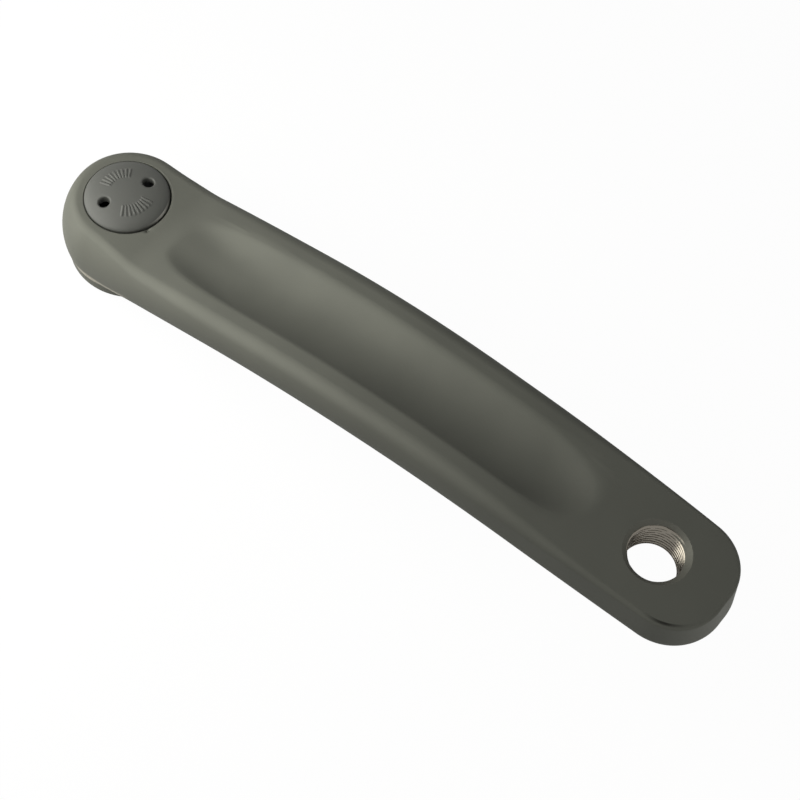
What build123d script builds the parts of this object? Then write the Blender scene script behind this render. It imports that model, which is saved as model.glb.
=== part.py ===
"""Left bicycle crank arm for a square taper spindle, with the dust cap screwed into its boss.

The spindle axis is Z and the back of the boss, where the spindle enters, is Z = 0.
The arm runs along +X to the pedal eye, and its outer face looks towards +Z.
"""
import os
from math import asin, atan, cos, degrees, radians, sin, sqrt, tan

from build123d import *

os.makedirs("parts", exist_ok=True)

# Driving dimensions, in millimetres and degrees
crank_length = 170.0          # spindle axis to pedal axis
pedal_offset = 22.1           # outer face of the pedal eye above the outer face of the boss
boss_height = 25.0            # back of the boss to its outer face
boss_radius = 18.8            # at the back plane, where the forging is widest
draft_angle = 2.5             # side walls lean in towards the outer face
blade_bulge = 0.9             # blade wider than the boss by this much on each side
eye_half_width = 16.95        # of the blade at the pedal axis, at the back plane
tip_reach = 22.0              # pedal axis to the tip, at the back plane
tip_corner_inset = 0.25       # corner radius of the tip less than half its width by this much
tip_overrun = 0.1             # the round end starts just outside the sides, so that they cross
outer_edge_radius = 5.0
back_edge_radius = 2.5

# Side view: level, bend, straight ramp, long bow, level
outer_root = 15.3             # spindle axis to the corner between boss face and ramp
outer_crest_run = 68.0        # pedal axis back to the corner between ramp and pedal face
outer_root_radius = 22.5
outer_crest_radius = 326.0
back_root = 2.8
back_crest_run = 79.6
back_root_radius = 28.0
back_crest_radius = 301.0
blade_root_height = 5.9       # underside of the blade where it leaves the boss
pedal_eye_thickness = 11.3

# Hub behind the blade
hub_radius = 17.9
hub_chamfer = 2.9
hub_back_radius = 14.6

# Flute scooped along the outer face
flute_first = 33.2            # spindle axis to the centre of its round end by the boss
flute_last_run = 29.5         # pedal axis back to the centre of its round end by the pedal
flute_half_width = 11.2       # at the boss end
flute_depth = 3.4             # at the boss end
flute_narrowing = 0.6         # its floor rises towards the outer face, so it narrows to the pedal
flute_edge_radius = 2.0

# Spindle socket: a square that narrows towards the outer face
socket_flats = 12.65          # across flats at its narrow end
socket_taper = 2.0            # each side
socket_corner_radius = 1.5

# Extractor thread M22 and the seat of the cap's rim
extractor_radius = 11.0
extractor_depth = 9.5
cap_seat_radius = 11.75
cap_seat_depth = 2.2

# Pedal thread 9/16 inch
pedal_thread_radius = 7.14
pedal_mouth_radius = 7.95

# Dust cap
cap_rim_gap = 0.25
cap_thread_clearance = 0.1
cap_crown_height = 2.1        # middle of the domed cap above the boss face
cap_dome_height = 3.2         # of the dome itself, half an ellipse that ends in the recess
cap_skirt_length = 4.5
cap_wall = 2.2
pin_hole_radius = 1.65
pin_hole_pitch = 13.2
pin_hole_turn = 71.0          # line through the pin holes, from the arm

# Heights that follow
pedal_face = boss_height + pedal_offset
pedal_back = pedal_face - pedal_eye_thickness
socket_length = boss_height - extractor_depth
blank_margin = 5.0
blank_height = pedal_face + blank_margin
tip = crank_length + tip_reach
blank_end = tip + 2 * blank_margin
outer_crest = crank_length - outer_crest_run
back_crest = crank_length - back_crest_run
flute_last = crank_length - flute_last_run

# Plan view: each side is one long arc, tangent to the round boss and widest where it serves both ends
blade_half_width = boss_radius + blade_bulge
boss_share = sqrt(blade_bulge)
eye_share = sqrt(blade_half_width - eye_half_width)
blade_widest_at = crank_length * boss_share / (boss_share + eye_share)
side_radius = (blade_widest_at**2 + blade_half_width**2 - boss_radius**2) / (2 * blade_bulge)
side_centre = Vector(blade_widest_at, blade_half_width - side_radius)
boss_tangent = side_centre * (-boss_radius / (side_radius - boss_radius))


def half_width(x):
    """Half the width of the plan at the back plane."""
    return side_centre.Y + sqrt(side_radius**2 - (x - side_centre.X) ** 2)


# Side view: where the straight ramp ends and the long bow begins
ramp_angle = atan(pedal_offset / (outer_crest - outer_root))
bow_tangent = outer_crest_radius * tan(ramp_angle / 2)
bow_start = outer_crest - bow_tangent * cos(ramp_angle)
bow_end = outer_crest + bow_tangent

# A ball drawn along the ramp and the bow scoops the flute
scoop_radius = (flute_half_width**2 + flute_depth**2) / (2 * flute_depth)
scoop_lift = scoop_radius - flute_depth
scoop_angle = ramp_angle + radians(flute_narrowing)
scoop_start = (
    flute_first - scoop_lift * sin(ramp_angle),
    boss_height + (flute_first - outer_root) * tan(ramp_angle) + scoop_lift * cos(ramp_angle),
)
scoop_straight = (bow_start - flute_first) / cos(ramp_angle)
scoop_turn = degrees(ramp_angle - asin((bow_end - flute_last) / outer_crest_radius))

with BuildPart() as scoop:
    with BuildLine(Plane.XZ) as scoop_path:
        ramp_run = PolarLine(scoop_start, scoop_straight, degrees(scoop_angle))
        JernArc(ramp_run @ 1, ramp_run % 1, outer_crest_radius + scoop_lift, -scoop_turn)
    boss_end = Plane(origin=scoop_path.line @ 0, z_dir=scoop_path.line % 0)
    pedal_end = Plane(origin=scoop_path.line @ 1, z_dir=scoop_path.line % 1)
    with BuildSketch(boss_end):
        Circle(scoop_radius)
    sweep(path=scoop_path.line)
    with Locations(-boss_end, pedal_end):
        Sphere(scoop_radius, arc_size1=0, align=(Align.CENTER, Align.CENTER, Align.MIN))

# The arm: a drafted blank, bent in the side view, with its long edges rounded
with BuildPart() as crank_arm:
    with BuildSketch():
        with BuildLine():
            near_side = ThreePointArc(
                (boss_tangent.X, -boss_tangent.Y),
                (blade_widest_at, -blade_half_width),
                (blank_end, -half_width(blank_end)),
            )
            far_side = mirror(near_side, about=Plane.XZ)
            ThreePointArc(far_side @ 0, (-boss_radius, 0), near_side @ 0)
            Line(near_side @ 1, far_side @ 1)
        make_face()
    extrude(amount=blank_height, taper=draft_angle)

    with BuildSketch(Plane.XZ.offset(-2 * blade_half_width)):
        with BuildLine():
            outer_line = FilletPolyline(
                (-2 * boss_radius, boss_height),
                (outer_root, boss_height),
                (outer_crest, pedal_face),
                (blank_end + blank_margin, pedal_face),
                radius=(outer_root_radius, outer_crest_radius),
            )
            back_line = FilletPolyline(
                (-2 * boss_radius, blade_root_height),
                (back_root, blade_root_height),
                (back_crest, pedal_back),
                (blank_end + blank_margin, pedal_back),
                radius=(back_root_radius, back_crest_radius),
            )
            Line(outer_line @ 0, back_line @ 0)
            Line(outer_line @ 1, back_line @ 1)
        make_face()
    extrude(amount=4 * blade_half_width, mode=Mode.INTERSECT)

    def looks(face, low, high):
        """Whether the face's normal has an upward share between the two limits."""
        return low < face.normal_at().Z < high

    walls = faces().filter_by(lambda face: looks(face, -0.5, 0.5) and face.center().X < blank_end - 1)
    outer_rim = faces().filter_by(lambda face: looks(face, 0.5, 2)).edges() & walls.edges()
    fillet(outer_rim, outer_edge_radius)
    walls = faces().filter_by(lambda face: looks(face, -0.5, 0.5) and face.center().X < blank_end - 1)
    back_rim = faces().filter_by(lambda face: looks(face, -2, -0.5)).edges() & walls.edges()
    fillet(back_rim, back_edge_radius)

    # Round end past the pedal eye, left crisp where it meets the outer face
    side_at_eye = half_width(crank_length) + tip_overrun
    side_at_tip = half_width(tip) + tip_overrun
    with BuildSketch():
        with BuildLine():
            round_end = FilletPolyline(
                (crank_length, -side_at_eye),
                (tip, -side_at_tip),
                (tip, side_at_tip),
                (crank_length, side_at_eye),
                radius=side_at_tip - tip_corner_inset,
            )
            Polyline(
                round_end @ 1,
                (crank_length, 2 * blade_half_width),
                (blank_end + blank_margin, 2 * blade_half_width),
                (blank_end + blank_margin, -2 * blade_half_width),
                (crank_length, -2 * blade_half_width),
                round_end @ 0,
            )
        make_face()
    extrude(amount=blank_height, dir=(0, 0, 1), taper=-draft_angle, mode=Mode.SUBTRACT)

    # Flute along the outer face, its edge eased
    whole_edges = edges()
    add(scoop.part, mode=Mode.SUBTRACT)
    cut_edges = (edges() - whole_edges).filter_by(GeomType.LINE, reverse=True)
    seams = cut_edges.filter_by(
        lambda edge: abs((edge @ 0.5).Y) < 1 and flute_first - 1 < (edge @ 0.5).X < flute_last + 1
    )
    flute_rim = cut_edges - seams
    fillet(flute_rim, flute_edge_radius)

    # Hub at the back of the boss
    with BuildSketch(Plane.XZ):
        with BuildLine():
            Polyline(
                (0, 0),
                (hub_back_radius, 0),
                (hub_radius, hub_chamfer),
                (hub_radius, boss_height / 2),
                (0, boss_height / 2),
                close=True,
            )
        make_face()
    revolve(axis=Axis.Z)

    # Cap seat, extractor bore and the square socket that opens to the back
    boss_face = Plane.XY.offset(boss_height)
    with BuildSketch(boss_face):
        Circle(cap_seat_radius)
    extrude(amount=-cap_seat_depth, mode=Mode.SUBTRACT)
    with BuildSketch(boss_face):
        Circle(extractor_radius)
    extrude(amount=-extractor_depth, mode=Mode.SUBTRACT)
    with BuildSketch(Plane((0, 0, socket_length), x_dir=(1, 0, 0), z_dir=(0, 0, -1))):
        RectangleRounded(socket_flats, socket_flats, socket_corner_radius)
    extrude(amount=socket_length, taper=-socket_taper, mode=Mode.SUBTRACT)

    # Pedal hole, with a chamfered mouth on both faces
    mouth_depth = pedal_mouth_radius - pedal_thread_radius
    with BuildSketch(Plane.XZ):
        with BuildLine():
            Polyline(
                (crank_length, pedal_back),
                (crank_length + pedal_mouth_radius, pedal_back),
                (crank_length + pedal_thread_radius, pedal_back + mouth_depth),
                (crank_length + pedal_thread_radius, pedal_face - mouth_depth),
                (crank_length + pedal_mouth_radius, pedal_face),
                (crank_length, pedal_face),
                close=True,
            )
        make_face()
    revolve(axis=Axis((crank_length, 0, 0), (0, 0, 1)), mode=Mode.SUBTRACT)

crank_arm.part.label = "crank_arm"
export_step(crank_arm.part, "parts/crank_arm.step")

# Dust cap: a domed head on the seat, its middle proud of the boss, and a hollow skirt down the extractor thread
head_radius = cap_seat_radius - cap_rim_gap
skirt_radius = extractor_radius - cap_thread_clearance
hollow_radius = skirt_radius - cap_wall
seat = boss_height - cap_seat_depth
skirt_end = seat - cap_skirt_length
crown = boss_height + cap_crown_height
dome_foot = crown - cap_dome_height
ceiling = crown - cap_wall
with BuildPart() as dust_cap:
    with BuildSketch(Plane.XZ):
        with BuildLine():
            dome = EllipticalCenterArc((0, dome_foot), head_radius, cap_dome_height, arc_size=180)
            Polyline(
                dome @ 0,
                (head_radius, seat),
                (skirt_radius, seat),
                (skirt_radius, skirt_end),
                (hollow_radius, skirt_end),
                (hollow_radius, ceiling),
                (-hollow_radius, ceiling),
                (-hollow_radius, skirt_end),
                (-skirt_radius, skirt_end),
                (-skirt_radius, seat),
                (-head_radius, seat),
                dome @ 1,
            )
        make_face()
        split(bisect_by=Plane.YZ)
    revolve(axis=Axis.Z)
    with BuildSketch(Plane.XY.offset(seat)):
        with PolarLocations(pin_hole_pitch / 2, 2, start_angle=pin_hole_turn):
            Circle(pin_hole_radius)
    extrude(amount=crown - seat, mode=Mode.SUBTRACT)

dust_cap.part.label = "dust_cap"
export_step(dust_cap.part, "parts/dust_cap.step")
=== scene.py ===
from math import radians

import bmesh
import bpy
import numpy as np
from mathutils import Matrix, Vector


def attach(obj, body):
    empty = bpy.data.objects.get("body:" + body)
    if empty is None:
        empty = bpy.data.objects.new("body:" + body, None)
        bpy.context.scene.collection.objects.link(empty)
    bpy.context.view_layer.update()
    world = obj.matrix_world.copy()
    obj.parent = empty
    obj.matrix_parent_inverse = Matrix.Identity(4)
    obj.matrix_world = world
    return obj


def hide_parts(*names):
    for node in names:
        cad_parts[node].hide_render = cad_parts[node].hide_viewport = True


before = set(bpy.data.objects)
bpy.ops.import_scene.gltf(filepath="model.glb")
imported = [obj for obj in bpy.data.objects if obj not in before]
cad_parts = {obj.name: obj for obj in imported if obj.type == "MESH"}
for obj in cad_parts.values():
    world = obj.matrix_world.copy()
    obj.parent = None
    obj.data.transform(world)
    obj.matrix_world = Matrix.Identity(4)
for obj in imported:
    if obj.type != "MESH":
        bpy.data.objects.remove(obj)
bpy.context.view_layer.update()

# Crank arm: one aluminium forging with a boss, a bent and fluted blade and a pedal eye.
# It is machined at both ends, threaded for the pedal, and coated dark grey all over before
# the thread is cut, so only the pedal thread shows bare metal. Sizes are in millimetres.
BOSS_RADIUS = 18.48
BULGE = 0.22
EYE_HALF_WIDTH = 15.57
PEDAL_X = 170.0
TIP_X = 190.28
TIP_CORNER = 13.8
BOSS_FACE = 25.0
PEDAL_FACE = 47.1
BLADE_ROOT = 5.9
PEDAL_BACK = 35.8
RECESS_RADIUS = 11.75
RECESS_EDGE = 0.33
HUB_RADIUS = 18.1
HUB_LEDGE = 0.3
MOUTH_RADIUS = 8.15
BACK_MOUTH = 7.16


def side_line(x, low, high, root, crest, root_radius, crest_radius):
    """Height of a line in the side view: level, a hollow arc, a straight ramp, a bowed arc, level.

    The ramp joins the corners (root, low) and (crest, high), and each arc is tangent to both of
    its straights, so it reaches radius * tan(slope / 2) along them from its corner.
    """
    slope = np.arctan2(high - low, crest - root)
    root_reach = root_radius * np.tan(slope / 2)
    crest_reach = crest_radius * np.tan(slope / 2)
    into_root = np.clip(x - root + root_reach, 0, root_radius * np.sin(slope))
    into_crest = np.clip(crest + crest_reach - x, 0, crest_radius * np.sin(slope))
    hollow = low + root_radius - np.sqrt(root_radius**2 - into_root**2)
    bowed = high - crest_radius + np.sqrt(crest_radius**2 - into_crest**2)
    straight = low + (x - root) * np.tan(slope)
    straight_first = root + root_reach * np.cos(slope)
    straight_last = crest - crest_reach * np.cos(slope)
    return np.where(x < straight_first, hollow, np.where(x < straight_last, straight, bowed))


def outer_line(x):
    """Outer face of the arm in the side view."""
    return side_line(
        x, BOSS_FACE, PEDAL_FACE, root=16.56, crest=99.8, root_radius=22.5, crest_radius=326.0)


def back_line(x):
    """Back of the blade in the side view."""
    return side_line(
        x, BLADE_ROOT, PEDAL_BACK, root=3.25, crest=91.4, root_radius=28.0, crest_radius=301.0)


def ramp(value, first, last):
    """Smooth step from 0 at first to 1 at last: 3 t^2 - 2 t^3."""
    share = np.clip((value - first) / (last - first), 0, 1)
    return share * share * (3 - 2 * share)


def quarter_sine(share):
    """Rise from 0 to 1 as a quarter of a sine."""
    return np.sin(np.pi / 2 * np.clip(share, 0, 1))


def flute_drop(x, y):
    """Depth of the flute under the face: a hollow with a curved section and rounded ends.

    The section is depth * (1 - |y / width|^p), where p falls to 2 from a flatter floor near the boss
    and the width falls evenly towards the pedal. Each end curves in plan with the root of the same
    term, and the depth rises from it as a quarter of a sine. Outside, the cut goes on below zero, so
    that the rim can be eased: between -e and e, a cut h becomes (h + e)^2 / (4 e). The ease e is
    small along the near rim, which is nearly crisp, and larger along the far rim.
    """
    depth = 3.45
    boss_end, boss_curve, boss_rise = 19.5, 18.0, 19.0
    pedal_end, pedal_curve, pedal_rise = 152.2, 10.0, 15.0
    boss_width, pedal_width = 10.9, 9.4
    flat_power, round_power = 3.4, 2.0
    near_ease, far_ease = 0.38, 0.88
    least_end_fall, least_side_fall = 0.3, 0.5
    width = boss_width + (pedal_width - boss_width) * (x - boss_end) / (pedal_end - boss_end)
    power = flat_power + (round_power - flat_power) * ramp(x, 22, 52)
    section = 1 - np.abs(y / width) ** power
    curve = 1 - np.sqrt(np.clip(section, 0, 1))
    from_boss = (x - boss_end - boss_curve * curve) / boss_rise
    from_pedal = (pedal_end - pedal_curve * curve - x) / pedal_rise
    rise = quarter_sine(from_boss) * quarter_sine(from_pedal)
    beyond = np.minimum(np.minimum(from_boss, from_pedal), 0)
    past_end = beyond * np.pi / 2 * np.maximum(section, least_end_fall)
    past_side = np.minimum(section, 0) * np.maximum(rise, least_side_fall)
    inside = rise * np.maximum(section, 0)
    cut = depth * np.where(inside > 0, inside, np.minimum(past_end, past_side))
    ease = near_ease + (far_ease - near_ease) * ramp(y, -2, 8)
    return np.where(cut > ease, cut, np.clip(cut + ease, 0, None) ** 2 / (4 * ease))


def nick_drop(x, y):
    """Depth of the small nick in the edge of the cap recess: a bell-shaped dent, longer along the edge."""
    nick_x, nick_y, depth = 11.57, -4.21, 0.9
    along_x, along_y = 0.342, 0.94
    half_length, half_width = 0.65, 0.45
    along = (x - nick_x) * along_x + (y - nick_y) * along_y
    across = (x - nick_x) * along_y - (y - nick_y) * along_x
    return depth * np.exp(-((along / half_length) ** 2) - (across / half_width) ** 2)


def whole_loop(half):
    """Closed loop from its upper half, which starts and ends on y = 0: the half, then its mirror."""
    mirror = half[-2:0:-1] * np.array([1.0, -1.0])
    return np.concatenate([half, mirror])


def arc(centre, radius, angles):
    """Points on a circle, and the unit directions from its centre to them."""
    out = np.stack([np.cos(angles), np.sin(angles)], axis=-1)
    return np.asarray(centre) + radius * out, out


def steps(start, stop, count):
    """Even steps from start up to, but not including, stop."""
    return np.linspace(start, stop, count, endpoint=False)


def recess_edge_radius(angle):
    """Rounding of the recess edge, wider on the blade side: an even part plus a cosine."""
    even, swing = 1.05, 0.95
    return RECESS_EDGE * (even + swing * np.cos(angle))


# Plan of the arm low on its wall: round boss, two long side arcs, round corners, short straight tip.
# A flat arc falls with the square of the distance from its widest point, so that point divides the
# length in the ratio of the roots of the two falls. The side arc's circle holds the circles of the
# boss and the corner and touches both, so their centres lie a difference of radii from its own.
widest = BOSS_RADIUS + BULGE
boss_share, eye_share = np.sqrt(BULGE), np.sqrt(widest - EYE_HALF_WIDTH)
widest_x = PEDAL_X * boss_share / (boss_share + eye_share)
side_radius = (widest_x**2 + widest**2 - BOSS_RADIUS**2) / (2 * BULGE)
side_centre = np.array([widest_x, widest - side_radius])
touch = np.arctan2(-side_centre[1], -side_centre[0])
corner_x = TIP_X - TIP_CORNER
corner_reach = side_radius - TIP_CORNER
corner_y = side_centre[1] + np.sqrt(corner_reach**2 - (corner_x - widest_x) ** 2)
corner_turn = np.arctan2(corner_y - side_centre[1], corner_x - widest_x)


def side_angle(x):
    """Direction from the side arc's centre to its point at x."""
    return np.arccos((x - widest_x) / side_radius)


round_steps, side_steps, blade_steps, eye_steps, tip_steps = 40, 44, 220, 40, 44
straight_steps = 6
blade_first, blade_last = 22.0, 150.0
touch_x = BOSS_RADIUS * np.cos(touch)
outline_parts = [
    arc((0, 0), BOSS_RADIUS, steps(np.pi, touch, round_steps)),
    arc(side_centre, side_radius, side_angle(steps(touch_x, blade_first, side_steps))),
    arc(side_centre, side_radius, side_angle(steps(blade_first, blade_last, blade_steps))),
    arc(side_centre, side_radius, side_angle(steps(blade_last, corner_x, eye_steps))),
    arc((corner_x, corner_y), TIP_CORNER, steps(corner_turn, 0, tip_steps - straight_steps)),
]
tip_y = np.linspace(corner_y, 0, straight_steps + 1)
tip_points = np.stack([np.full_like(tip_y, TIP_X), tip_y], axis=-1)
outline = whole_loop(np.concatenate([part[0] for part in outline_parts] + [tip_points]))
outward = whole_loop(np.concatenate([part[1] for part in outline_parts] + [tip_points * 0 + (1, 0)]))

recess_angles = np.concatenate([steps(np.pi, touch, round_steps), steps(touch, 0, side_steps)])
eye_angles = np.concatenate([
    steps(np.pi, np.pi / 2, eye_steps), np.linspace(np.pi / 2, 0, tip_steps + 1)])


def seam_loop(radius, mouth):
    """Inner edge of a face: a ring round the spindle, a seam along y = 0, the mouth of the pedal hole.

    The ring's radius is given at each of its angles and once more for its end at y = 0.
    """
    seam = steps(radius[-1], PEDAL_X - mouth, blade_steps)
    return whole_loop(np.concatenate([
        arc((0, 0), radius[:-1, None], recess_angles)[0],
        np.stack([seam, seam * 0], axis=-1),
        arc((PEDAL_X, 0), mouth, eye_angles)[0],
    ]))


def rows_between(first, last, shares):
    """Loops part of the way from one loop to another."""
    return first + (last - first) * shares[:, None, None]


# Section of the wall: a rounded outer edge, a bowed wall and a rounded back edge, all tangent arcs.
# The wall leans in by lean_out at its top and by lean_in at its foot, most on the boss. At the pedal
# eye it is straight and spreads downwards, most at the tip, where the outer edge gets crisp.
BOSS_RIM, BLADE_RIM, CRISP_LOSS, TIP_LOSS = 2.9, 4.4, 3.2, 0.6
TAIL_BACK_RIM, BOSS_BACK_RIM, ROOT_SWELL = 1.5, 2.5, 0.67
BOSS_LEAN, BLADE_LEAN, EYE_LEAN = 29.5, 24.5, 2.6
FOOT_LEAN, EYE_FOOT_LEAN, TIP_SPREAD = 10.0, -2.4, 7.1
x_out = outline[:, 0]
round_tip = np.where(x_out > corner_x, 1 - np.clip(np.abs(outward[:, 1]), 0, 1), 0.0)
to_blade, to_eye, to_crisp = ramp(x_out, 0, 45), ramp(x_out, 90, 150), ramp(x_out, 112, 178)
rim = BOSS_RIM + (BLADE_RIM - BOSS_RIM) * ramp(x_out, 0, 50) - CRISP_LOSS * to_crisp - TIP_LOSS * round_tip
back_rim = TAIL_BACK_RIM + (BOSS_BACK_RIM - TAIL_BACK_RIM) * ramp(x_out, -10, 6)
back_rim += ROOT_SWELL * ramp(x_out, 5, 20) * (1 - ramp(x_out, 25, 80))
lean_along = BOSS_LEAN + (BLADE_LEAN - BOSS_LEAN) * to_blade + (EYE_LEAN - BLADE_LEAN) * to_eye
lean_out = np.radians(lean_along + TIP_SPREAD * round_tip)
lean_in = np.radians(FOOT_LEAN + (EYE_FOOT_LEAN - FOOT_LEAN) * to_eye - TIP_SPREAD * round_tip)
top, foot = outer_line(x_out), back_line(x_out)
wall_height = top - foot - rim * (1 - np.sin(lean_out)) - back_rim * (1 - np.sin(lean_in))
wall_radius = wall_height / (np.sin(lean_out) + np.sin(lean_in))


def section_row(reach, height):
    """One row of the wall, at a reach outwards from the plan and a height."""
    return np.column_stack([outline + outward * reach[:, None], height])


def outer_edge_row(turn):
    """Row of the outer edge, which turns by a quarter less the lean: radius times sine out, cosine down."""
    reach = wall_radius * (np.cos(lean_out) - np.cos(lean_in)) - rim * (np.cos(lean_out) - np.sin(turn))
    return section_row(reach, top - rim * (1 - np.cos(turn)))


def wall_row(turn):
    """Row of the bowed wall, an arc of the wall's own radius between the two leans."""
    reach = wall_radius * (np.sin(turn) - np.cos(lean_in))
    height = foot + back_rim * (1 - np.sin(lean_in)) + wall_radius * (np.sin(lean_in) + np.cos(turn))
    return section_row(reach, height)


def back_edge_row(turn):
    """Row of the back edge, an arc of its own radius from the foot of the wall to the back or the hub."""
    return section_row(back_rim * (np.sin(turn) - np.cos(lean_in)), foot + back_rim * (1 + np.cos(turn)))


# The back edge stops where it meets the hub, at a narrow turned ledge, and beyond the hub it runs
# on to the level back of the blade. The gap to the hub is radial behind the spindle's axis and
# straight across the arm in front of it.
hub_reach = np.sqrt(np.clip(HUB_RADIUS**2 - x_out**2, 0, None))
hub_gap = np.where(x_out < 0, np.hypot(*outline.T) - HUB_RADIUS, np.abs(outline[:, 1]) - hub_reach)
hub_gap[x_out > HUB_RADIUS] = BOSS_RADIUS
ledge = HUB_LEDGE * (1 - ramp(x_out, 2, 7))
last_turn = np.pi - np.arcsin(np.clip(np.cos(lean_in) - (hub_gap + ledge) / back_rim, 0, 1))
first_turn, foot_turn = np.pi / 2 - lean_out, np.pi / 2 + lean_in

# Shell of the arm: outer face with flute and nick, outer edge, wall, back edge, back
face_rows, rim_rows, wall_rows, back_edge_rows, back_rows = 44, 15, 12, 9, 12
rim_shares = np.linspace(0, 1, rim_rows)
outer_rim = np.stack([outer_edge_row(first_turn * share) for share in rim_shares])
outer_rim[..., 2] -= flute_drop(outer_rim[..., 0], outer_rim[..., 1]) * (1 - rim_shares)[:, None]
wall = np.stack([
    wall_row(first_turn + (foot_turn - first_turn) * share)
    for share in np.linspace(0, 1, wall_rows)[1:]
])
back_edge = np.stack([
    back_edge_row(foot_turn + (last_turn - foot_turn) * share)
    for share in np.linspace(0, 1, back_edge_rows)[1:]
])
recess_ring = RECESS_RADIUS + recess_edge_radius(np.append(recess_angles, 0.0))
face_plan = rows_between(
    seam_loop(recess_ring, MOUTH_RADIUS),
    outer_rim[0, :, :2],
    np.linspace(0, 1, face_rows),
)[:-1]
face_height = outer_line(face_plan[..., 0]) - flute_drop(face_plan[..., 0], face_plan[..., 1])
face_height -= nick_drop(face_plan[..., 0], face_plan[..., 1])
hub_ring = np.full(len(recess_angles) + 1, HUB_RADIUS)
back_plan = rows_between(
    back_edge[-1, :, :2],
    seam_loop(hub_ring, BACK_MOUTH),
    np.linspace(0, 1, back_rows),
)[1:]
ledge_height = back_edge[-1, :, 2]
hair = 0.02
back_height = np.where(ledge_height > foot + hair, ledge_height, back_line(back_plan[..., 0]))
shell = np.concatenate([
    np.dstack([face_plan, face_height]),
    outer_rim,
    wall,
    back_edge,
    np.dstack([back_plan, back_height]),
])


def square_reach(angle, half, corner):
    """Distance from the centre of a square with rounded corners to its edge, in the given directions.

    On a flat it is the half width over the cosine of the angle from the flat's middle. On a corner it
    is the far crossing with the corner's circle.
    """
    turned = np.abs((angle + np.pi / 4) % (np.pi / 2) - np.pi / 4)
    flat = half / np.cos(turned)
    middle = half - corner
    along = middle * (np.cos(turned) + np.sin(turned))
    rounded = along + np.sqrt(np.clip(along**2 - 2 * middle**2 + corner**2, 0, None))
    return np.where(half * np.tan(turned) <= middle, flat, rounded)


def round_rows(angles, profile):
    """Surface of revolution about Z: each row is a radius, which may vary round it, and a height."""
    rows = []
    for radius, height in profile:
        plan = np.stack([radius * np.cos(angles), radius * np.sin(angles)], axis=-1)
        rows.append(np.column_stack([plan, np.broadcast_to(height, angles.shape)]))
    return np.stack(rows)


# Boss bore: cap recess, extractor bore, square taper socket, back face, chamfer, hub.
# The two rows under the top of the hub carry the fade of the pale line: painted reflection of the floor,
# with rubbed coating.
CAP_SEAT, EXTRACTOR_RADIUS = 22.8, 11.0
SOCKET_TOP, SOCKET_TOP_HALF, SOCKET_MOUTH_HALF, SOCKET_CORNER = 15.5, 6.325, 6.866, 1.5
HUB_FACE_RADIUS, HUB_CHAMFER = 14.6, 2.9
PALE_LINE_ON_HUB, PALE_LINE_FADE_ON_HUB = 0.4, 0.9
boss_angles = np.concatenate([recess_angles, [0.0], -recess_angles[:0:-1]])
edge_turns = np.linspace(0, np.pi / 2, 5)
edge_radius = recess_edge_radius(boss_angles)
recess_edge = [
    (RECESS_RADIUS + edge_radius * (1 - np.sin(turn)), BOSS_FACE - edge_radius * (1 - np.cos(turn)))
    for turn in edge_turns
]
half_round = len(recess_angles)
hub_top = np.concatenate([shell[-1, :half_round + 1, 2], shell[-1, 1 - half_round:, 2]])
boss_bore = round_rows(boss_angles, recess_edge + [
    (RECESS_RADIUS, CAP_SEAT),
    (EXTRACTOR_RADIUS, CAP_SEAT),
    (EXTRACTOR_RADIUS, SOCKET_TOP),
    (square_reach(boss_angles, SOCKET_TOP_HALF, SOCKET_CORNER), SOCKET_TOP),
    (square_reach(boss_angles, SOCKET_MOUTH_HALF, SOCKET_CORNER), 0.0),
    (HUB_FACE_RADIUS, 0.0),
    (HUB_RADIUS, HUB_CHAMFER),
    (HUB_RADIUS, hub_top - PALE_LINE_FADE_ON_HUB),
    (HUB_RADIUS, hub_top - PALE_LINE_ON_HUB),
    (HUB_RADIUS, hub_top),
])
recess_rows = boss_bore[:len(edge_turns)]
recess_rows[..., 2] -= nick_drop(recess_rows[..., 0], recess_rows[..., 1])

# Pedal thread: 20 turns to the inch, left-hand, running out into a chamfer at each face.
# Its section is a cosine between crest and groove, and the back chamfer is the steeper one.
PITCH, CREST, GROOVE = 1.27, 6.55, 7.14
BACK_CHAMFER_SLOPE = 2
thread_rows = 96
thread_angles = np.concatenate([eye_angles, -eye_angles[-2:0:-1]])
thread_heights = np.linspace(PEDAL_FACE, PEDAL_BACK, thread_rows)
height, angle = np.meshgrid(thread_heights, thread_angles, indexing="ij")
phase = (height / PITCH + angle / (2 * np.pi)) % 1.0
threaded = CREST + (GROOVE - CREST) * (0.5 - 0.5 * np.cos(2 * np.pi * phase))
outer_chamfer = MOUTH_RADIUS - (PEDAL_FACE - height)
back_chamfer = BACK_MOUTH - BACK_CHAMFER_SLOPE * (height - PEDAL_BACK)
chamfer = np.maximum(outer_chamfer, back_chamfer)
reach = np.maximum(threaded, chamfer)
thread = np.dstack([PEDAL_X + reach * np.cos(angle), reach * np.sin(angle), height])


def grid_faces(rows, columns, start):
    """Four-sided faces of a grid of points that is numbered row by row and closes along each row."""
    row, column = np.meshgrid(np.arange(rows - 1), np.arange(columns), indexing="ij")
    here = row * columns + column
    beside = row * columns + (column + 1) % columns
    corners = [here, beside, beside + columns, here + columns]
    return np.stack([corner.ravel() for corner in corners], axis=-1) + start


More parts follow.
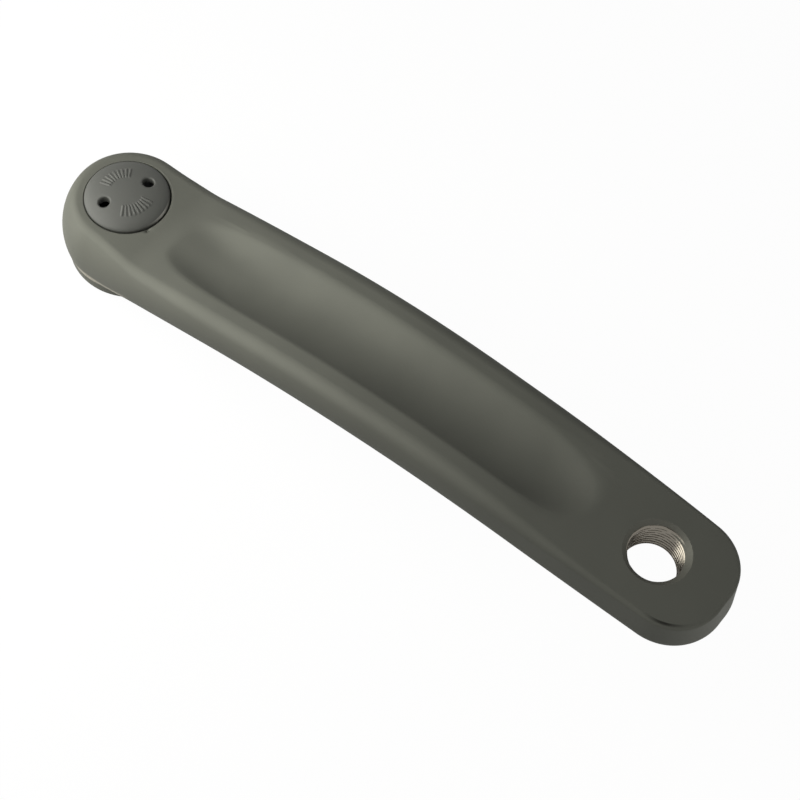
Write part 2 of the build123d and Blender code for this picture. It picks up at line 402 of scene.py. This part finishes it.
def mesh_piece(name, grids, values):
    """Object from grids of points in millimetres, welded where they meet, facing outwards.

    values gives one number per point for each named attribute, grid by grid.
    """
    metres, weld, sharp = 0.001, 2e-6, radians(35)
    points = np.concatenate([grid.reshape(-1, 3) for grid in grids]) * metres
    faces, start = [], 0
    for grid in grids:
        faces.append(grid_faces(*grid.shape[:2], start))
        start += grid.shape[0] * grid.shape[1]
    mesh = bpy.data.meshes.new(name)
    mesh.from_pydata(points.tolist(), [], np.concatenate(faces).tolist())
    for title, numbers in values.items():
        column = mesh.attributes.new(title, "FLOAT", "POINT")
        flat = np.concatenate([part.ravel() for part in numbers]).astype(np.float32)
        column.data.foreach_set("value", flat)
    work = bmesh.new()
    work.from_mesh(mesh)
    bmesh.ops.remove_doubles(work, verts=work.verts, dist=weld)
    bmesh.ops.recalc_face_normals(work, faces=work.faces)
    work.to_mesh(mesh)
    work.free()
    mesh.polygons.foreach_set("use_smooth", np.ones(len(mesh.polygons), dtype=bool))
    mesh.set_sharp_from_angle(angle=sharp)
    piece = bpy.data.objects.new(name, mesh)
    bpy.context.collection.objects.link(piece)
    return piece


def on_near_side(points):
    """Share of the pale line, painted reflection of the floor and rubbed coating: full on the near side of
    the boss, fading towards the blade and the tail.
    """
    return ramp(-points[..., 1], 5, 12) * (1 - ramp(points[..., 0], 12, 18))


# Marks on the coating: bare metal in the thread; a pale line low on the near side of the boss, which is
# painted reflection of the floor on the back edge together with rubbed coating; painted shade on the
# near edge of the tip. The heights of the line are shares of the back edge's radius.
CHAMFER_BARE, THREAD_BLEND = 0.1, 0.05
TAIL_LINE, BOSS_LINE, LINE_FADE = 0.55, 0.95, 0.3
TIP_SHADE_X, TIP_SHADE_REACH = 180.9, 3.2
plain_shell, plain_bore, plain_thread = [np.zeros(grid.shape[:2]) for grid in (shell, boss_bore, thread)]
in_thread = np.clip((threaded - chamfer) / THREAD_BLEND, 0, 1)
bare_thread = CHAMFER_BARE + (1 - CHAMFER_BARE) * in_thread
above_foot = (shell[..., 2] - foot) / back_rim
line_top = TAIL_LINE + (BOSS_LINE - TAIL_LINE) * ramp(shell[..., 0], -8, 2)
rub_and_reflection_shell = (1 - ramp(above_foot, line_top, line_top + LINE_FADE)) * on_near_side(shell)
rub_and_reflection_shell[:len(face_plan)] = 0
rub_and_reflection_bore = plain_bore.copy()
rub_and_reflection_bore[-2:] = on_near_side(boss_bore[-2:])
# Painted shade on the near edge of the tip, fading down the outer edge
along_edge = np.exp(-((outer_rim[..., 0] - TIP_SHADE_X) / TIP_SHADE_REACH) ** 2) * (outer_rim[..., 1] < 0)
down_edge = (1 - ramp(rim_shares, 0.15, 0.5))[:, None]
tip_shade_shell = plain_shell.copy()
tip_shade_shell[len(face_plan):len(face_plan) + rim_rows] = along_edge * down_edge
arm = mesh_piece("crank_arm_forging", [shell, boss_bore, thread], {
    "bare": [plain_shell, plain_bore, bare_thread],
    "rub_and_reflection": [rub_and_reflection_shell, rub_and_reflection_bore, plain_thread],
    "tip_shade": [tip_shade_shell, plain_bore, plain_thread],
})


def linear(code):
    """Linear colour with alpha from an sRGB hex code: a straight foot, then a power of 2.4."""
    parts = np.array([int(code[place:place + 2], 16) for place in (1, 3, 5)]) / 255
    light = np.where(parts <= 0.04045, parts / 12.92, ((parts + 0.055) / 1.055) ** 2.4)
    return (*light.tolist(), 1.0)


def node(tree, kind, settings=None, inputs=None):
    """Adds a node: settings are its own fields, and inputs are values or other nodes' sockets."""
    made = tree.nodes.new(kind)
    for field, value in (settings or {}).items():
        setattr(made, field, value)
    for socket, value in (inputs or {}).items():
        if isinstance(value, bpy.types.NodeSocket):
            tree.links.new(value, made.inputs[socket])
        else:
            made.inputs[socket].default_value = value
    return made


def new_material(name):
    """Material with an empty node tree, and the tree."""
    made = bpy.data.materials.new(name)
    made.use_nodes = True
    made.node_tree.nodes.clear()
    return made, made.node_tree


# Matt grey coating on blasted aluminium: dark, even and faintly cloudy, with a broad soft sheen along
# its edges, because some of the metal's own reflection comes through. In the thread it is bare metal.
# The grain is drawn at 0.6 mm, coarser than blasting leaves it, so that it shows.
cloud_mm, grain_mm = 18.0, 0.6
coating, tree = new_material("matt_grey_coating_on_aluminium")
place = node(tree, "ShaderNodeTexCoord").outputs["Object"]
bare = node(tree, "ShaderNodeAttribute", {"attribute_name": "bare"}).outputs["Fac"]
rub_and_reflection = node(tree, "ShaderNodeAttribute", {"attribute_name": "rub_and_reflection"}).outputs["Fac"]
tip_shade = node(tree, "ShaderNodeAttribute", {"attribute_name": "tip_shade"}).outputs["Fac"]
cloud = node(tree, "ShaderNodeTexNoise", None, {"Vector": place, "Scale": 1000 / cloud_mm, "Detail": 3.0})
grain = node(tree, "ShaderNodeTexNoise", None, {"Vector": place, "Scale": 1000 / grain_mm, "Detail": 2.0})
tone = node(tree, "ShaderNodeMix", {"data_type": "RGBA"}, {
    "Factor": cloud.outputs["Fac"], "A": linear("#53544F"), "B": linear("#5C5D57")})
# Pale line low on the near side of the boss: painted reflection of the floor, with rubbed coating
rub_and_reflection_tone = node(tree, "ShaderNodeMix", {"data_type": "RGBA"}, {
    "Factor": rub_and_reflection, "A": tone.outputs["Result"], "B": linear("#97938A")})
# Painted shade on the near edge of the tip
tip_shaded = node(tree, "ShaderNodeMix", {"data_type": "RGBA"}, {
    "Factor": tip_shade, "A": rub_and_reflection_tone.outputs["Result"], "B": linear("#2A2A27")})
metal = node(tree, "ShaderNodeMix", {"data_type": "RGBA"}, {
    "Factor": bare, "A": tip_shaded.outputs["Result"], "B": linear("#78736A")})
dull = node(tree, "ShaderNodeMapRange", None, {
    "Value": bare, "From Min": 0.0, "From Max": 1.0, "To Min": 0.58, "To Max": 0.24})
shiny = node(tree, "ShaderNodeMapRange", None, {
    "Value": bare, "From Min": 0.0, "From Max": 1.0, "To Min": 0.25, "To Max": 1.0})
bump = node(tree, "ShaderNodeBump", None, {
    "Strength": 0.08, "Distance": 0.0002, "Height": grain.outputs["Fac"]})
shader = node(tree, "ShaderNodeBsdfPrincipled", None, {
    "Base Color": metal.outputs["Result"],
    "Metallic": shiny.outputs["Result"],
    "Roughness": dull.outputs["Result"],
    "Specular IOR Level": 0.03,
    "Normal": bump.outputs["Normal"],
})
node(tree, "ShaderNodeOutputMaterial", None, {"Surface": shader.outputs["BSDF"]})
arm.data.materials.append(coating)
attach(arm, "root")
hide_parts("crank_arm")

# Dust cap: a moulded plastic dome screwed into the extractor thread, its middle proud of the boss.
# Two pin holes take the spanner, and short raised bars between them give it a grip pattern. It sits
# a little off centre, and a highlight is painted on one side of its rim.
HEAD_RADIUS, DOME_FOOT, DOME_HEIGHT = 11.5, 24.7, 2.75
PIN_RADIUS, PIN_REACH, PIN_EDGE = 1.5, 6.5, 0.5
SKIRT_RADIUS, SKIRT_FOOT = 10.75, 18.3
HOLLOW_RADIUS, CEILING = 8.7, 24.9
CAP_OFFSET = (-0.17, 0.0, 0.0)
RIM_HIGHLIGHT_ANGLE, RIM_HIGHLIGHT_SPREAD = -60, 16
hole_steps, seam_steps = 110, 150
plate_rows, pin_edge_rows, under_rows = 70, 6, 3
hole_angles = steps(np.pi, 0, hole_steps)
cap_angles = steps(np.pi, -np.pi, 2 * (2 * hole_steps + seam_steps))


def dome(x, y):
    """Height of the dome, half an ellipse turned about the axis, with two sets of raised bars.

    Each set has nine radial bars, 9 degrees apart and centred between the pin holes. A bar's height is
    the product of smooth steps along and across it.
    """
    pitch, bar_height = 9.0, 0.2
    half_set = 4.5 * pitch
    away = np.minimum(np.hypot(x, y), HEAD_RADIUS)
    off_middle = np.degrees(np.abs(np.arctan2(x, np.abs(y))))
    off_bar = np.radians(np.abs((off_middle + pitch / 2) % pitch - pitch / 2)) * away
    across = 1 - ramp(off_bar, 0.18, 0.36)
    along = ramp(away, 4.5, 4.8) * (1 - ramp(away, 7.6, 7.9)) * (off_middle < half_set)
    smooth = DOME_FOOT + DOME_HEIGHT * np.sqrt(1 - (away / HEAD_RADIUS) ** 2)
    return smooth + bar_height * across * along


def pin_loop(radius):
    """Inner edge of the cap's plates: round one pin hole, along a seam, round the other and back."""
    seam = steps(radius - PIN_REACH, PIN_REACH - radius, seam_steps)
    return whole_loop(np.concatenate([
        arc((-PIN_REACH, 0), radius, hole_angles)[0],
        np.stack([seam, seam * 0], axis=-1),
        arc((PIN_REACH, 0), radius, np.append(hole_angles, 0.0))[0],
    ]))


def pin_wall(side):
    """Wall of one pin hole: a quarter round below the dome, then straight down to the cap's underside."""
    angles = np.concatenate([hole_angles, [0.0], -hole_angles[:0:-1]])
    centre = (side * PIN_REACH, 0)
    rim_plan = arc(centre, PIN_RADIUS + PIN_EDGE, angles)[0]
    rows = []
    for turn in np.linspace(0, np.pi / 2, pin_edge_rows):
        plan = arc(centre, PIN_RADIUS + PIN_EDGE * (1 - np.sin(turn)), angles)[0]
        rows.append(np.column_stack([plan, dome(*rim_plan.T) - PIN_EDGE * (1 - np.cos(turn))]))
    plan = rows[-1][:, :2]
    rows.append(np.column_stack([plan, np.full(len(plan), CEILING)]))
    return np.stack(rows)


cap_plan = rows_between(
    arc((0, 0), HEAD_RADIUS, cap_angles)[0],
    pin_loop(PIN_RADIUS + PIN_EDGE),
    1 - np.cos(np.linspace(0, np.pi / 2, plate_rows)),
)
plate = np.dstack([cap_plan, dome(cap_plan[..., 0], cap_plan[..., 1])])
skirt = round_rows(cap_angles, [
    (HEAD_RADIUS, DOME_FOOT),
    (HEAD_RADIUS, CAP_SEAT),
    (SKIRT_RADIUS, CAP_SEAT),
    (SKIRT_RADIUS, SKIRT_FOOT),
    (HOLLOW_RADIUS, SKIRT_FOOT),
    (HOLLOW_RADIUS, CEILING),
])
under_plan = rows_between(
    arc((0, 0), HOLLOW_RADIUS, cap_angles)[0],
    pin_loop(PIN_RADIUS),
    np.linspace(0, 1, under_rows),
)
under = np.dstack([under_plan, np.full(under_plan.shape[:2], CEILING)])
cap_grids = (plate, skirt, under, pin_wall(-1), pin_wall(1))
pin_turn = radians(71)
turned = np.array([
    [np.cos(pin_turn), np.sin(pin_turn), 0],
    [-np.sin(pin_turn), np.cos(pin_turn), 0],
    [0, 0, 1],
])
# Painted highlight: a pale patch on one side of the cap's rim
from_rim_highlight = np.degrees(np.arctan2(plate[..., 1], plate[..., 0])) - RIM_HIGHLIGHT_ANGLE
at_rim = ramp(np.hypot(plate[..., 0], plate[..., 1]), 11.1, 11.3)
rim_highlight_plate = np.exp(-((from_rim_highlight / RIM_HIGHLIGHT_SPREAD) ** 2)) * at_rim
cap = mesh_piece("dust_cap_moulding", [grid @ turned + CAP_OFFSET for grid in cap_grids], {
    "rim_highlight": [rim_highlight_plate] + [np.zeros(grid.shape[:2]) for grid in cap_grids[1:]],
})

# Dark grey plastic as it leaves the mould: near to the arm in colour, a little smoother, with fine
# grain, drawn at 0.4 mm so that it shows, and paler where a highlight is painted on the rim
grain_mm = 0.4
plastic, tree = new_material("dark_grey_moulded_plastic")
place = node(tree, "ShaderNodeTexCoord").outputs["Object"]
rim_highlight = node(tree, "ShaderNodeAttribute", {"attribute_name": "rim_highlight"}).outputs["Fac"]
grain = node(tree, "ShaderNodeTexNoise", None, {"Vector": place, "Scale": 1000 / grain_mm, "Detail": 2.0})
bump = node(tree, "ShaderNodeBump", None, {
    "Strength": 0.06, "Distance": 0.0001, "Height": grain.outputs["Fac"]})
tone = node(tree, "ShaderNodeMix", {"data_type": "RGBA"}, {
    "Factor": rim_highlight, "A": linear("#424340"), "B": linear("#A3A29C")})
shader = node(tree, "ShaderNodeBsdfPrincipled", None, {
    "Base Color": tone.outputs["Result"],
    "Roughness": 0.55,
    "IOR": 1.5,
    "Specular IOR Level": 0.35,
    "Normal": bump.outputs["Normal"],
})
node(tree, "ShaderNodeOutputMaterial", None, {"Surface": shader.outputs["BSDF"]})
cap.data.materials.append(plastic)
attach(cap, "root")
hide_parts("dust_cap")

# Studio: the arm lies on a white paper floor that glows for the rays that show it and still takes a
# faint shadow. To diffuse rays the paper is dark, so that it throws little light up at the arm.
FLOOR_HALF = 3.0
PAPER_SHARE, PAPER_GLOW = 0.93, 1.04


def shows_background(tree):
    """1 for rays that show the background, from the camera, off metal or through glass, else 0."""
    seen = node(tree, "ShaderNodeLightPath").outputs
    either = node(tree, "ShaderNodeMath", {"operation": "MAXIMUM"}, {
        0: seen["Is Camera Ray"], 1: seen["Is Transmission Ray"]})
    any_of_them = node(tree, "ShaderNodeMath", {"operation": "MAXIMUM"}, {
        0: either.outputs[0], 1: seen["Is Glossy Ray"]})
    return any_of_them.outputs[0]


floor_corners = [(x * FLOOR_HALF, y * FLOOR_HALF, 0) for x, y in ((-1, -1), (1, -1), (1, 1), (-1, 1))]
floor_mesh = bpy.data.meshes.new("floor")
floor_mesh.from_pydata(floor_corners, [], [(0, 1, 2, 3)])
floor = bpy.data.objects.new("floor", floor_mesh)
bpy.context.collection.objects.link(floor)
paper, tree = new_material("white_paper")
share = node(tree, "ShaderNodeMath", {"operation": "MULTIPLY"}, {
    0: shows_background(tree), 1: PAPER_SHARE})
bounced = node(tree, "ShaderNodeLightPath").outputs["Is Diffuse Ray"]
shade = node(tree, "ShaderNodeMix", {"data_type": "RGBA"}, {
    "Factor": bounced, "A": linear("#AAAAAA"), "B": linear("#202020")})
matt = node(tree, "ShaderNodeBsdfDiffuse", None, {"Color": shade.outputs["Result"]})
glow = node(tree, "ShaderNodeEmission", None, {"Color": (1, 1, 1, 1), "Strength": PAPER_GLOW})
mixed = node(tree, "ShaderNodeMixShader", None, {
    0: share.outputs[0], 1: matt.outputs["BSDF"], 2: glow.outputs["Emission"]})
node(tree, "ShaderNodeOutputMaterial", None, {"Surface": mixed.outputs["Shader"]})
floor_mesh.materials.append(paper)


def lamp(name, place, aim, size, power, tint, in_gloss=True):
    """Square area lamp that faces a point, and may be left out of what shiny metal mirrors."""
    light = bpy.data.lights.new(name, "AREA")
    light.shape = "SQUARE"
    light.size = size
    light.energy = power
    light.color = tint
    made = bpy.data.objects.new(name, light)
    made.location = place
    made.visible_camera = False
    made.visible_glossy = in_gloss
    made.rotation_euler = (Vector(aim) - Vector(place)).to_track_quat("-Z", "Y").to_euler()
    bpy.context.collection.objects.link(made)


# Lamps: a large soft key beside the boss, a small card low down that lights the boss's wall and hub,
# and a fill beyond the pedal end
lamp("key", (-0.075, -0.092, 0.125), aim=(0.06, 0, 0.025),
     size=0.24, power=0.94, tint=(1.0, 0.99, 0.93))
lamp("card", (-0.045, -0.064, 0.005), aim=(-0.009, -0.015, 0.01),
     size=0.03, power=0.03, tint=(1.0, 0.985, 0.9))
lamp("fill", (0.58, -0.05, 0.2), aim=(0.09, 0, 0.03),
     size=0.3, power=1.35, tint=(1.0, 0.99, 0.94), in_gloss=False)

# World: white where it is seen or mirrored, and next to no light on what lies in it
world = bpy.data.worlds.new("studio")
bpy.context.scene.world = world
world.use_nodes = True
tree = world.node_tree
tree.nodes.clear()
ambient = node(tree, "ShaderNodeBackground", None, {"Color": (1, 1, 1, 1), "Strength": 0.03})
white = node(tree, "ShaderNodeBackground", None, {"Color": (1, 1, 1, 1), "Strength": 1.0})
mixed = node(tree, "ShaderNodeMixShader", None, {
    0: shows_background(tree), 1: ambient.outputs["Background"], 2: white.outputs["Background"]})
node(tree, "ShaderNodeOutputWorld", None, {"Surface": mixed.outputs["Shader"]})

# Camera: above the pedal end, on the near side, looking back along the arm
camera_data = bpy.data.cameras.new("camera")
camera_data.sensor_width = 36.0
camera_data.lens = 69.768
camera = bpy.data.objects.new("camera", camera_data)
camera_place = Vector((0.19701, -0.15231, 0.37085))
camera_aim = Vector((0.096, -0.00122, 0.03))
camera_roll = radians(6.776)
facing = (camera_aim - camera_place).to_track_quat("-Z", "Y").to_matrix().to_4x4()
camera.matrix_world = Matrix.Translation(camera_place) @ facing @ Matrix.Rotation(camera_roll, 4, "Z")
bpy.context.collection.objects.link(camera)
bpy.context.scene.camera = camera
bpy.context.scene.view_settings.view_transform = "Standard"
